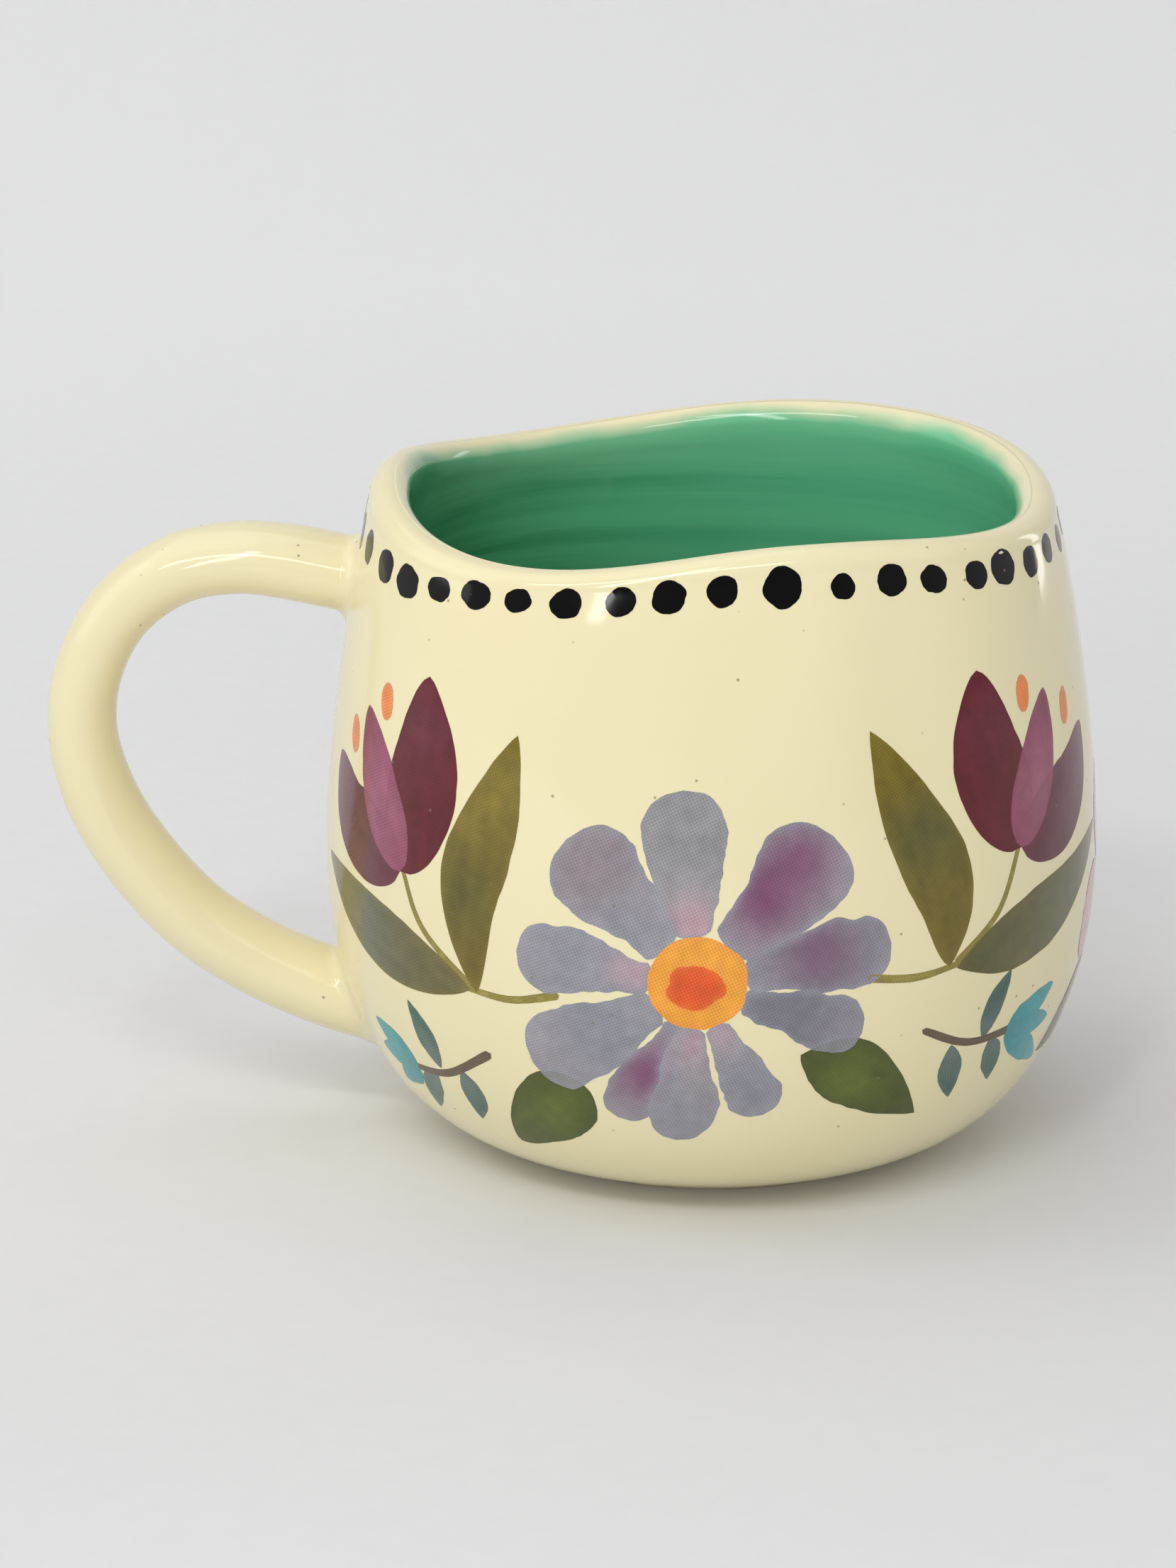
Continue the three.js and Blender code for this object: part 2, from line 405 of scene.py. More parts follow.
def printed_paint(name, screen_strength):
    """Watercolour pigment under clear glaze, printed with a fine screen."""
    shader = Shader(name)
    pigment = shader.attribute("paint")
    flat = shader.node("ShaderNodeUVMap", uv_map="flat").outputs["UV"]
    placing = {"Vector": flat, "Rotation": (0, 0, math.radians(SCREEN_TILT)),
               "Scale": (SCREEN_TURNS, SCREEN_TURNS, 1)}
    turn = shader.node("ShaderNodeMapping", placing).outputs["Vector"]
    axes = shader.node("ShaderNodeSeparateXYZ", {0: turn}).outputs
    across = shader.math("SINE", axes["X"])
    upward = shader.math("SINE", axes["Y"])
    screen = shader.math("MULTIPLY", across, upward)
    blotch = shader.remap(shader.noise(520.0, 3.0), 0.3, 0.7, 0.92, 1.08)
    dotted = shader.math("ADD", shader.math("MULTIPLY", screen, screen_strength), 1.0)
    tone = shader.math("MULTIPLY", blotch, dotted)
    grey = shader.node("ShaderNodeCombineColor", {0: tone, 1: tone, 2: tone}).outputs[0]
    colour = shader.mix(1.0, pigment, grey, "MULTIPLY")
    shader.feed(shader.surface.inputs["Base Color"], add_specks(shader, colour))
    glaze_gloss(shader)
    return shader.material


# ----------------
# Clay pieces

SIDES = 256
BOTTOM_RINGS = 6
OUTER_STEPS = 56
CREST_STEPS = 20
INNER_STEPS = 48


def make_cup(material):
    bottom = [Vector((BASE_RADIUS * k / BOTTOM_RINGS, BASE_HEIGHT, 0)) for k in range(BOTTOM_RINGS)]
    outline = bottom + outer_wall(OUTER_STEPS) + lip_arc(CREST_STEPS) + inner_wall(INNER_STEPS)
    cup = mesh_object("cup_wall", *turned(outline, SIDES))
    cup.data.materials.append(material)
    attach(cup, "root")
    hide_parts("cup_body")


LINER_SKIN = 0.06        # how far the green stands proud of the clay
LINER_DEPTH = 0.25       # how far its hidden back lies in the clay
LINER_START = 0.58       # where the green begins on the lip, as a share of its half circle
LINER_LIP_STEPS = 12
LINER_STEPS = 64
THIN_BAND = 5.5          # mm over which the glaze thins towards its upper edge


def inner_face(offset, steps):
    """From the crest of the lip down the hollow of the cup to the middle of its floor."""
    radius = WALL / 2 + offset
    middle = Vector((LIP_RADIUS - WALL / 2, RIM_HEIGHT - WALL / 2, 0))
    shares = [LINER_START + (1 - LINER_START) * k / LINER_LIP_STEPS for k in range(LINER_LIP_STEPS)]
    turns = [math.pi * share for share in shares]
    lip = [middle + radius * Vector((math.cos(t), math.sin(t), 0)) for t in turns]
    return lip + inner_wall(steps, offset)


def make_liner(material):
    face = inner_face(LINER_SKIN, LINER_STEPS)
    back = inner_face(-LINER_DEPTH, LINER_STEPS)
    edge = back[0].lerp(face[0], 0.5)
    liner = mesh_object("green_lining", *turned(list(reversed(back)) + [edge] + face, SIDES))
    fade = [0.0]
    for before, after in zip(face, face[1:]):
        fade.append(fade[-1] + (after - before).length)
    thin = liner.data.attributes.new("thin", "FLOAT", "POINT")
    first = len(liner.data.vertices) - SIDES * (len(face) - 1) - 1
    for row, path in enumerate(fade[:-1]):
        for k in range(SIDES):
            thin.data[first + row * SIDES + k].value = clamp01(1 - path / THIN_BAND)
    for index in range(first):
        thin.data[index].value = 1.0
    liner.data.materials.append(material)
    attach(liner, "root")
    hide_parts("inner_glaze")


FOOT_RADIUS = 27.0
FOOT_HEIGHT = 1.25
FOOT_EDGE = 0.5
FOOT_EDGE_STEPS = 6
FOOT_TAPER = 0.1
FOOT_RINGS = (0, 5, 10, 15, 20, 24)
FOOT_SIDES = 128


def make_foot(material):
    outline = [Vector((radius, 0, 0)) for radius in FOOT_RINGS]
    for k in range(FOOT_EDGE_STEPS + 1):
        turn = math.pi / 2 * k / FOOT_EDGE_STEPS
        radius = FOOT_RADIUS - FOOT_EDGE + FOOT_EDGE * math.sin(turn)
        outline.append(Vector((radius, FOOT_EDGE - FOOT_EDGE * math.cos(turn), 0)))
    outline += [Vector((radius, FOOT_HEIGHT, 0)) for radius in (FOOT_RADIUS - FOOT_TAPER, 12, 0)]
    foot = mesh_object("clay_foot", *turned(outline, FOOT_SIDES))
    foot.data.materials.append(material)
    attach(foot, "root")
    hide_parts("foot")


HANDLE_WIDTH = 13.0
HANDLE_THICKNESS = 9.6
HANDLE_NECK = 0.90       # how slim the upper bend is, as a share of full size
HANDLE_NECK_END = 0.62   # shares of the line's length
HANDLE_SWELL = 1.06      # how full the lower root is
HANDLE_SWELL_START = 0.55
HANDLE_WAVER = 0.03
HANDLE_WAVES = 0.08      # waves of uneven thickness per mm
HANDLE_FILLET = 2.0
NEAR_WALL = -58.0        # x beyond which the handle is clear of the wall
SKIRT = 1.2              # how far the cove's edge runs on under the wall's face
SKIRT_SLOPE = 0.12
SETTLE_TURNS = 5         # how often a point is dropped onto the wall again until it lies right
HANDLE_ROUND = 48
FAR_STEP = 0.8
NEAR_STEP = 0.2
CURVE_STEPS = 60
# x and z of the middle of the rod, from its upper root round to its lower one
HANDLE_LINE = (
    (-43.0, 73.3), (-49.3, 74.6), (-55, 75.7), (-60.8, 76.1), (-68.5, 74.6),
    (-75.6, 69.5), (-80.0, 61.8), (-81.2, 53.5), (-79.2, 44.8), (-74.6, 36.5),
    (-67.2, 28.0), (-59.0, 22.4), (-50.9, 18.7), (-43.0, 16.0), (-34.0, 13.6),
)


def smooth_line(points):
    """A centripetal Catmull-Rom curve through the points, with its places closer together near the wall."""
    points = [Vector((x, 0, z)) for x, z in points]
    first, last = 2 * points[0] - points[1], 2 * points[-1] - points[-2]
    padded = [first] + points + [last]
    dense = []
    for a, b, c, d in zip(padded, padded[1:], padded[2:], padded[3:]):
        t1 = (b - a).length ** 0.5
        t2 = t1 + (c - b).length ** 0.5
        t3 = t2 + (d - c).length ** 0.5
        for k in range(CURVE_STEPS):
            t = t1 + (t2 - t1) * k / CURVE_STEPS
            ab = a.lerp(b, t / t1)
            bc = b.lerp(c, (t - t1) / (t2 - t1))
            cd = c.lerp(d, (t - t2) / (t3 - t2))
            abc = ab.lerp(bc, t / t2)
            bcd = bc.lerp(cd, (t - t1) / (t3 - t1))
            dense.append(abc.lerp(bcd, (t - t1) / (t2 - t1)))
    spaced = [dense[0]]
    for place in dense:
        step = NEAR_STEP if place.x > NEAR_WALL else FAR_STEP
        if (place - spaced[-1]).length >= step:
            spaced.append(place)
    return spaced


def wall_distance_of_height(height):
    """How far along the wall a height is reached, found by halving."""
    low, high = WALL_MAP.along[0], WALL_MAP.along[-1]
    while high - low > 0.01:
        middle = (low + high) / 2
        if WALL_MAP.at(middle).y < height:
            low = middle
        else:
            high = middle
    return low


def height_above_wall(point):
    """Distance from a point to the cup's outer wall, roughly square to it, and the wall's normal there."""
    angle = math.atan2(point.y, point.x)
    height = point.z
    for _ in range(3):
        height = point.z - crest_fade(height) * wave_sum(CREST_WAVES, angle)
    distance = wall_distance_of_height(height)
    surface = WALL_MAP.surface(angle, distance)
    normal = WALL_MAP.normal(angle, distance)
    return (point - surface).dot(normal), normal


def handle_section(share):
    """Size of the rod's section at a share of its length."""
    neck = math.sin(math.pi * clamp01(share / HANDLE_NECK_END)) ** 2
    swell = smooth_step((share - HANDLE_SWELL_START) / (1 - HANDLE_SWELL_START))
    return 1 - (1 - HANDLE_NECK) * neck + (HANDLE_SWELL - 1) * swell


def joined_to_wall(point, offset):
    """Spreads a point of the handle outwards near the wall, so that clay runs into clay in a small cove.
    Past the wall's face it slips just under it, so no edge shows."""
    gap, normal = height_above_wall(point)
    if gap >= HANDLE_FILLET:
        return point
    buried = min(max(-gap, 0), SKIRT)
    closeness = clamp01(1 - gap / HANDLE_FILLET)
    spread = HANDLE_FILLET * (1 - math.sqrt(1 - closeness ** 2)) + buried
    away = (offset - normal * offset.dot(normal)).normalized()
    moved = point + away * spread
    wanted = gap if gap > 0 else -buried * SKIRT_SLOPE
    for _ in range(SETTLE_TURNS):
        height, normal = height_above_wall(moved)
        moved = moved + normal * (wanted - height)
    return moved


def make_handle(material):
    """The loop, with its two ends run into the wall."""
    line = smooth_line(HANDLE_LINE)
    length = sum((b - a).length for a, b in zip(line, line[1:]))
    vertices, faces = [], []
    along_line = 0.0
    for index, middle in enumerate(line):
        along_line += (middle - line[max(index - 1, 0)]).length
        outward = Vector((0, 1, 0)).cross(direction_at(line, index))
        scale = handle_section(along_line / length)
        scale *= 1 + HANDLE_WAVER * noise.noise(Vector((along_line * HANDLE_WAVES, 3.1, 0.5)))
        for k in range(HANDLE_ROUND):
            turn = 2 * math.pi * k / HANDLE_ROUND
            side = math.cos(turn) * HANDLE_WIDTH / 2 * scale
            lift = math.sin(turn) * HANDLE_THICKNESS / 2 * scale
            offset = Vector((0, side, 0)) + outward * lift
            point = middle + offset
            if middle.x > NEAR_WALL:
                point = joined_to_wall(point, offset)
            vertices.append(point)
    for row in range(len(line) - 1):
        for k in range(HANDLE_ROUND):
            a = row * HANDLE_ROUND + k
            b = row * HANDLE_ROUND + (k + 1) % HANDLE_ROUND
            faces.append([b, a, a + HANDLE_ROUND, b + HANDLE_ROUND])
    faces.append(list(range(HANDLE_ROUND)))
    faces.append([(len(line) - 1) * HANDLE_ROUND + k for k in reversed(range(HANDLE_ROUND))])
    handle = mesh_object("loop_handle", vertices, faces)
    handle.data.materials.append(material)
    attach(handle, "root")
    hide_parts("handle", "upper_slip_fillet", "lower_slip_fillet")


# ----------------
# Painted motifs. Each is drawn flat, in millimetres about its own middle, and laid on the wall.

FRINGE_WIDTH = 0.35
FRINGE_STRENGTH = 0.5
STREAK_LENGTHWISE = 0.11        # waves per mm of the unevenness in a stroke's colour
STREAK_CROSSWISE = 0.62
WASH_GRAIN = 0.33
FINE_GRAIN = 1.1


class Paint:
    """A pigment: its colour, blooms of other colours along the stroke, its fringe, and how it covers.
    A bloom is a share along the stroke, mm to its left, mm of radius, a colour and a strength."""

    def __init__(self, colour, blooms, fringe, mottle, cover=1.0):
        self.colour = Vector(colour)
        self.blooms = blooms
        self.fringe = Vector(fringe)
        self.mottle = mottle
        self.cover = cover


class Stroke:
    """One brush shape: a closed outline, the spine it follows and its paint."""

    def __init__(self, outline, spine, paint):
        self.outline = outline
        self.spine = spine
        self.paint = paint

    def colour_at(self, spot, edge, seed):
        """The paint's colour at a spot of the drawing that lies some mm from the nearest edge."""
        paint = self.paint
        colour = paint.colour.copy()
        for share, sideways, radius, tint, strength in paint.blooms:
            index = int(clamp01(share) * (len(self.spine) - 1))
            along = direction_at(self.spine, index)
            middle = self.spine[index] + Vector((-along.y, along.x)) * sideways
            near = math.exp(-((spot - middle).length / radius) ** 2)
            colour = colour.lerp(Vector(tint), clamp01(near * strength))
        axis = (self.spine[-1] - self.spine[0]).normalized()
        lengthwise = spot.dot(axis) * STREAK_LENGTHWISE
        crosswise = (axis.x * spot.y - axis.y * spot.x) * STREAK_CROSSWISE
        streaks = noise.noise(Vector((lengthwise, crosswise, seed + 3)))
        wash = noise.noise(Vector((spot.x * WASH_GRAIN, spot.y * WASH_GRAIN, seed)))
        fine = noise.noise(Vector((spot.x * FINE_GRAIN, spot.y * FINE_GRAIN, seed + 7)))
        colour *= 1 + paint.mottle * (0.5 * wash + 0.4 * fine + 0.9 * streaks)
        return colour.lerp(paint.fringe, FRINGE_STRENGTH * math.exp(-edge / FRINGE_WIDTH))


def curve_through(points, steps):
    """A smooth flat curve through two to four points."""
    points = [Vector(p) for p in points]
    if len(points) == 2:
        return [points[0].lerp(points[1], k / steps) for k in range(steps + 1)]
    padded = [2 * points[0] - points[1]] + points + [2 * points[-1] - points[-2]]
    places = []
    spans = len(points) - 1
    each = max(steps // spans, 3)
    for a, b, c, d in zip(padded, padded[1:], padded[2:], padded[3:]):
        for k in range(each):
            t = k / each
            places.append(0.5 * (2 * b + (c - a) * t + (2 * a - 5 * b + 4 * c - d) * t ** 2
                                 + (3 * b - a - 3 * c + d) * t ** 3))
    places.append(points[-1])
    return places


# Profiles of a stroke: its width at a share s of its length, as a share of its full width.

def leaf_width(s):
    return math.sin(math.pi * s ** 0.92) ** 0.85


def tulip_width(s):
    return math.sin(math.pi * s ** 0.76) ** 0.66


def spatula_width(s):
    root = 0.46 + 0.54 * smooth_step(s / 0.72)
    tip = math.sqrt(max(1 - max((s - 0.62) / 0.38, 0) ** 3.4, 0))
    heel = min(1.0, (s / 0.05) ** 0.5)
    return root * tip * heel


def stem_width(s):
    return min(1.0, (min(s, 1 - s) / 0.03) ** 0.5) * (0.85 + 0.3 * s)


BRISTLE = 4.0           # how many times the edge of a stroke wavers along its length
STROKE_STEPS = 44
BLOB_STEPS = 48
SEED_STEP = 1.37
QUICK_WAVES = 3.7
QUICK_SHARE = 0.35
SAME_PLACE = 0.05


def brush_edge(along, side, seed):
    """How far the edge of a stroke wavers: a slow wave with a quicker, weaker one on it."""
    slow = noise.noise(Vector((along, side, seed * SEED_STEP)))
    quick = noise.noise(Vector((along * QUICK_WAVES, side + 4.3, seed * SEED_STEP)))
    return slow + QUICK_SHARE * quick


def stroke(points, width, paint, profile, ragged, seed, lean=0.0):
    """A brush stroke along a spine; lean pushes its fullest side to the left (+) or right (-)."""
    spine = curve_through(points, STROKE_STEPS)
    left, right = [], []
    for index, middle in enumerate(spine):
        s = index / (len(spine) - 1)
        along = direction_at(spine, index)
        across = Vector((-along.y, along.x))
        half = width / 2 * profile(clamp01(s))
        rough = ragged * math.sin(math.pi * s) ** 0.3 if 0 < s < 1 else 0
        wobble = [rough * brush_edge(s * BRISTLE, side, seed) for side in (0.37, 9.61)]
        left.append(middle + across * (half * (1 + lean) + wobble[0]))
        right.append(middle - across * (half * (1 - lean) + wobble[1]))
    outline = right + list(reversed(left))
    return Stroke(tidy_outline(outline), spine, paint)


def blob(middle, width, tallness, paint, seed, ragged, tilt=0.0):
    """An uneven round dab."""
    middle = Vector(middle)
    cosine, sine = math.cos(math.radians(tilt)), math.sin(math.radians(tilt))
    outline = []
    for k in range(BLOB_STEPS):
        turn = 2 * math.pi * k / BLOB_STEPS
        x, y = math.cos(turn), math.sin(turn)
        rough = 1 + ragged * noise.noise(Vector((1.5 * x, 1.5 * y, seed * 3.71)))
        rough += ragged * 0.35 * noise.noise(Vector((4 * x, 4 * y, seed * 1.37)))
        flat = Vector((x * width / 2, y * tallness / 2)) * rough
        tilted = Vector((flat.x * cosine - flat.y * sine, flat.x * sine + flat.y * cosine))
        outline.append(middle + tilted)
    return Stroke(outline, [middle, middle + Vector((0, 0.1))], paint)


def tidy_outline(outline):
    """Drops points that lie on top of each other."""
    kept = []
    for point in outline:
        if not kept or (point - kept[-1]).length > SAME_PLACE:
            kept.append(point)
    while (kept[0] - kept[-1]).length < SAME_PLACE:
        kept.pop()
    return kept


FILM_PROUD = 0.03
FILM_DEEP = 0.08
EDGE_CLEARANCE = 0.45
MOTIF_SPACING = 0.8
DOT_SPACING = 0.9


def inner_spots(points, edges_near, spacing):
    """Places of a triangular grid over the outlines' points, except those too close to an outline."""
    low_x, high_x = min(p.x for p in points), max(p.x for p in points)
    low_y, high_y = min(p.y for p in points), max(p.y for p in points)
    spots = []
    for row in range(int((high_y - low_y) / spacing) + 1):
        for column in range(int((high_x - low_x) / spacing) + 1):
            spot = Vector((low_x + (column + 0.5 * (row % 2)) * spacing, low_y + row * spacing))
            if edges_near.find(Vector((spot.x, spot.y, 0)))[2] > spacing * EDGE_CLEARANCE:
                spots.append(spot)
    return spots


class Film:
    """A thin closed skin of paint on the wall, gathered from any number of motifs."""

    def __init__(self, name):
        self.name = name
        self.tops, self.bottoms, self.normals = [], [], []
        self.faces, self.colours, self.flats = [], [], []

    def lay(self, strokes, degrees, distance, seed, spacing, mirror=1):
        """Puts strokes on the wall about a place: degrees from the front, mm along it from the belly."""
        points, loops = [], []
        for item in strokes:
            loops.append([len(points) + k for k in range(len(item.outline))])
            points += item.outline
        edges_near = kdtree.KDTree(len(points))
        for index, point in enumerate(points):
            edges_near.insert(Vector((point.x, point.y, 0)), index)
        edges_near.balance()
        inner = inner_spots(points, edges_near, spacing)
        flat, _, faces, _, _, sources = delaunay_2d_cdt(points + inner, [], loops, 1, 1e-5)
        start = len(self.tops)
        origin = FRONT + math.radians(degrees)
        for spot in flat:
            height = distance + spot.y
            angle = origin + mirror * spot.x / WALL_MAP.at(height).x
            surface, normal = WALL_MAP.surface(angle, height), WALL_MAP.normal(angle, height)
            self.tops.append(surface + normal * FILM_PROUD)
            self.bottoms.append(surface - normal * FILM_DEEP)
            self.normals.append(normal)
        for face, source in zip(faces, sources):
            if not source:
                continue
            layers = [strokes[k] for k in sorted(source)]
            tints = []
            for corner in face:
                spot = flat[corner]
                edge = edges_near.find(Vector((spot.x, spot.y, 0)))[2]
                tint = layers[0].colour_at(spot, edge, seed)
                for layer in layers[1:]:
                    tint = tint.lerp(layer.colour_at(spot, edge, seed), layer.paint.cover)
                tints.append(tint)
            corners = [start + c for c in face]
            if mirror < 0:
                corners, tints = corners[::-1], tints[::-1]
            self.faces.append(corners)
            self.colours.append(tints)
            self.flats.append([flat[c - start] for c in corners])

    def closed(self):
        """Faces, colours and flat places of the film, with its back and its edges added."""
        count = len(self.tops)
        faces, tints, flats = list(self.faces), list(self.colours), list(self.flats)
        sides, colour_of, flat_of = {}, {}, {}
        for face, face_tints, face_flats in zip(self.faces, self.colours, self.flats):
            faces.append([corner + count for corner in reversed(face)])
            tints.append(face_tints[::-1])
            flats.append(face_flats[::-1])
            sides.update(dict.fromkeys(zip(face, face[1:] + face[:1])))
            colour_of.update(zip(face, face_tints))
            flat_of.update(zip(face, face_flats))
        for a, b in sides:
            if (b, a) not in sides:
                faces.append([b, a, a + count, b + count])
                tints.append([colour_of[b], colour_of[a], colour_of[a], colour_of[b]])
                flats.append([flat_of[b], flat_of[a], flat_of[a], flat_of[b]])
        return faces, tints, flats

    def build(self, material, slot):
        faces, tints, flats = self.closed()
        mesh = bpy.data.meshes.new(self.name)
        mesh.from_pydata([tuple(v * MM) for v in self.tops + self.bottoms], [], faces)
        mesh.shade_smooth()
        paint = mesh.attributes.new("paint", "FLOAT_COLOR", "CORNER")
        uv = mesh.uv_layers.new(name="flat")
        values, places, normals = [], [], []
        for face, face_tints, face_flats in zip(faces, tints, flats):
            for corner, tint, flat in zip(face, face_tints, face_flats):
                values += [max(tint.x, 0), max(tint.y, 0), max(tint.z, 0), 1]
                places += [flat.x / FLAT_UNIT, flat.y / FLAT_UNIT]
                normals.append(self.normals[corner % len(self.normals)])
        paint.data.foreach_set("color", values)
        uv.data.foreach_set("uv", places)
        mesh.normals_split_custom_set(normals)
        film = bpy.data.objects.new(self.name, mesh)
        bpy.context.scene.collection.objects.link(film)
        mesh.materials.append(material)
        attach(film, "root")


# pigments, as linear colours
LAVENDER = (0.325, 0.308, 0.335)
PERIWINKLE = (0.235, 0.254, 0.30)
DUSK = (0.17, 0.165, 0.205)
SLATE = (0.30, 0.295, 0.305)
PLUM = (0.19, 0.05, 0.135)
ROSE = (0.62, 0.33, 0.40)
TEAL_FRINGE = (0.30, 0.32, 0.37)
BLUSH = (0.58, 0.30, 0.35)
BLUSH_DEEP = (0.50, 0.18, 0.26)
BLUSH_PALE = (0.66, 0.45, 0.45)
BLUSH_FRINGE = (0.62, 0.42, 0.45)
YOLK = (0.87, 0.37, 0.045)
YOLK_FRINGE = (0.86, 0.30, 0.06)
EMBER = (0.72, 0.075, 0.018)
MAROON = (0.120, 0.012, 0.018)
MULBERRY = (0.16, 0.034, 0.055)
GRAPE = (0.130, 0.036, 0.050)
ORCHID = (0.32, 0.085, 0.15)
ORCHID_PALE = (0.38, 0.15, 0.20)
CORAL = (0.85, 0.24, 0.07)
OLIVE = (0.165, 0.128, 0.020)
OLIVE_GOLD = (0.24, 0.18, 0.028)
OLIVE_DARK = (0.075, 0.085, 0.03)
SAGE = (0.145, 0.130, 0.050)
SAGE_BLUE = (0.14, 0.16, 0.11)
BOTTLE = (0.075, 0.095, 0.016)
MOSS = (0.125, 0.165, 0.03)
STEM_GREEN = (0.38, 0.32, 0.08)
BARK = (0.14, 0.10, 0.06)
PINE_TEAL = (0.04, 0.12, 0.085)
DUSK_TEAL = (0.13, 0.18, 0.16)
AQUA = (0.05, 0.34, 0.36)
AQUA_DEEP = (0.04, 0.22, 0.28)
INK = (0.0035, 0.003, 0.003)


PETAL_ROOT = 5.6
PETAL_BEND = 0.8


def petal(degrees, length, width, paint, seed):
    """A blunt petal that starts at the flower's yellow middle."""
    along = Vector((math.cos(math.radians(degrees)), math.sin(math.radians(degrees))))
    bend = Vector((-along.y, along.x)) * (PETAL_BEND * noise.noise(Vector((degrees * 0.7, seed, 0))))
    points = [along * PETAL_ROOT, along * (PETAL_ROOT + length) / 2 + bend, along * length]
    return stroke(points, width, paint, spatula_width, ragged=0.9, seed=seed)


def lavender(*blooms):
    return Paint(LAVENDER, blooms, TEAL_FRINGE, mottle=0.13, cover=0.8)


def purple_flower():
    """Ten petals about a yellow eye: direction, length, width and colour of each."""
    petals = [
        petal(-149, 24.6, 11.2, lavender((0.45, 0, 6, PERIWINKLE, 0.7)), 11),
        petal(174, 23.2, 9.0, lavender((0.15, -1, 3, ROSE, 0.5), (0.6, 0, 6, PERIWINKLE, 0.5)), 12),
        petal(134, 23.8, 11.4, lavender((0.75, 0, 6, GRAPE, 0.35), (0.3, 2, 5, PERIWINKLE, 0.4)), 13),
        petal(95, 23.8, 10.8, Paint(SLATE, [(0.1, 0, 3.5, ROSE, 0.6)], TEAL_FRINGE, 0.13, 0.8), 14),
        petal(47, 24.4, 12.4, lavender((0.42, 1.5, 5.5, PLUM, 0.95), (0.75, 1.0, 5.0, PLUM, 0.75)), 15),
        petal(-20, 21.8, 8.0, lavender((0.35, 0, 9, DUSK, 0.9)), 16),
        petal(9, 24.6, 9.2, lavender((0.5, 0, 9, DUSK, 0.7), (0.5, 1.2, 5.0, PLUM, 0.6)), 17),
        petal(-67, 20.2, 7.2, lavender((0.7, 0, 4, PERIWINKLE, 0.8), (0.05, 0, 3, ROSE, 0.4)), 18),
        petal(-117, 22.0, 7.4, lavender((0.5, 0, 5.4, PLUM, 0.85)), 19),
        petal(-97, 23.2, 8.2, lavender((0.1, 0, 3.5, ROSE, 0.4), (0.8, 0, 5, PERIWINKLE, 0.5)), 20),
    ]
    eye = blob((0, 0), 12.2, 12.0, Paint(YOLK, (), YOLK_FRINGE, 0.10), 31, 0.06)
    ember = Paint(EMBER, (), (0.85, 0.20, 0.03), 0.15, 0.92)
    heart = blob((-0.3, -0.4), 7.0, 5.6, ember, 32, 0.22)
    return petals + [eye, heart]


def flower_leaves():
    """The two dark leaves that show from under the flower."""
    bottle = Paint(BOTTLE, [(0.5, 0.5, 4, MOSS, 0.8)], OLIVE_DARK, 0.25)
    return [
        stroke([(-14.6, -14.6), (-19.2, -20.5), (-23.6, -27.6)], 11.0, bottle, tulip_width, 0.4, 41),
        stroke([(12.6, -9.8), (19.5, -14.0), (28.4, -21.6)], 10.0, bottle, leaf_width, 0.5, 42, lean=0.12),
    ]


def bulging(base, tip, push):
    """A spine from base to tip whose middle is pushed aside."""
    return [base, base.lerp(Vector(tip), 0.5) + Vector(push), Vector(tip)]


def tulip(tulip_base, dark_tip, pink_tip, purple_tip, stamens, seed):
    """Three pointed petals and two stamens that rise from one place."""
    base = Vector(tulip_base)
    plum = Paint(GRAPE, [(0.75, 0, 5, MULBERRY, 0.7), (0.1, 0, 4, MAROON, 0.4)], MULBERRY, 0.22)
    maroon = Paint(MAROON, [(0.75, 0, 6, MULBERRY, 0.5)], MAROON, 0.25)
    orchid_blooms = [(0.35, 0, 5, ORCHID_PALE, 0.5), (0.95, 0, 4, MULBERRY, 0.5)]
    orchid = Paint(ORCHID, orchid_blooms, ORCHID, 0.18, 0.82)
    side = 1 if dark_tip[0] > base.x else -1
    strokes = [
        stroke(bulging(base, purple_tip, (-3.0 * side, -1.6)), 11.5, plum, tulip_width, 0.3, seed),
        stroke(bulging(base, dark_tip, (1.8 * side, -0.5)), 11.6, maroon, tulip_width, 0.3, seed + 1),
        stroke(bulging(base, pink_tip, (-0.6 * side, 0)), 8.2, orchid, tulip_width, 0.25, seed + 2),
    ]
    coral = Paint(CORAL, (), (0.80, 0.33, 0.12), 0.12)
    strokes += [blob(place, 2.5, 4.9, coral, seed + 3 + k, 0.08) for k, place in enumerate(stamens)]
    return strokes


def left_tulip():
    sage_blooms = [(0.6, 0, 7, SAGE_BLUE, 0.7), (0.9, -1, 6, OLIVE_GOLD, 0.5)]
    olive_blooms = [(0.75, 1, 6, OLIVE_GOLD, 0.8), (0.35, 0, 6, OLIVE_DARK, 0.4)]
    sage = Paint(SAGE, sage_blooms, OLIVE_GOLD, 0.2)
    olive = Paint(OLIVE, olive_blooms, OLIVE_GOLD, 0.22)
    stalk = Paint(STEM_GREEN, (), OLIVE, 0.2)
    return [
        stroke([(-0.2, 5.2), (3.2, -1.8), (11.0, -8.0)], 0.85, stalk, stem_width, 0.06, 51),
        stroke([(9.6, -8.2), (16.4, -8.6), (23.4, -7.0)], 0.95, stalk, stem_width, 0.06, 52),
        stroke([(10.6, -8.4), (-1.0, -6.4), (-11.5, -3.4), (-23.2, 1.2)],
               9.8, sage, leaf_width, 0.35, 53),
        stroke([(11.6, -8.6), (10.8, 4.0), (13.6, 14.0), (16.6, 25.2)],
               9.2, olive, leaf_width, 0.35, 54, lean=-0.05),
    ] + tulip((-0.6, 4.6), (3.4, 30.8), (-8.2, 24.2), (-17.4, 16.0), [(-4.1, 25.7), (-11.9, 19.5)], 61)


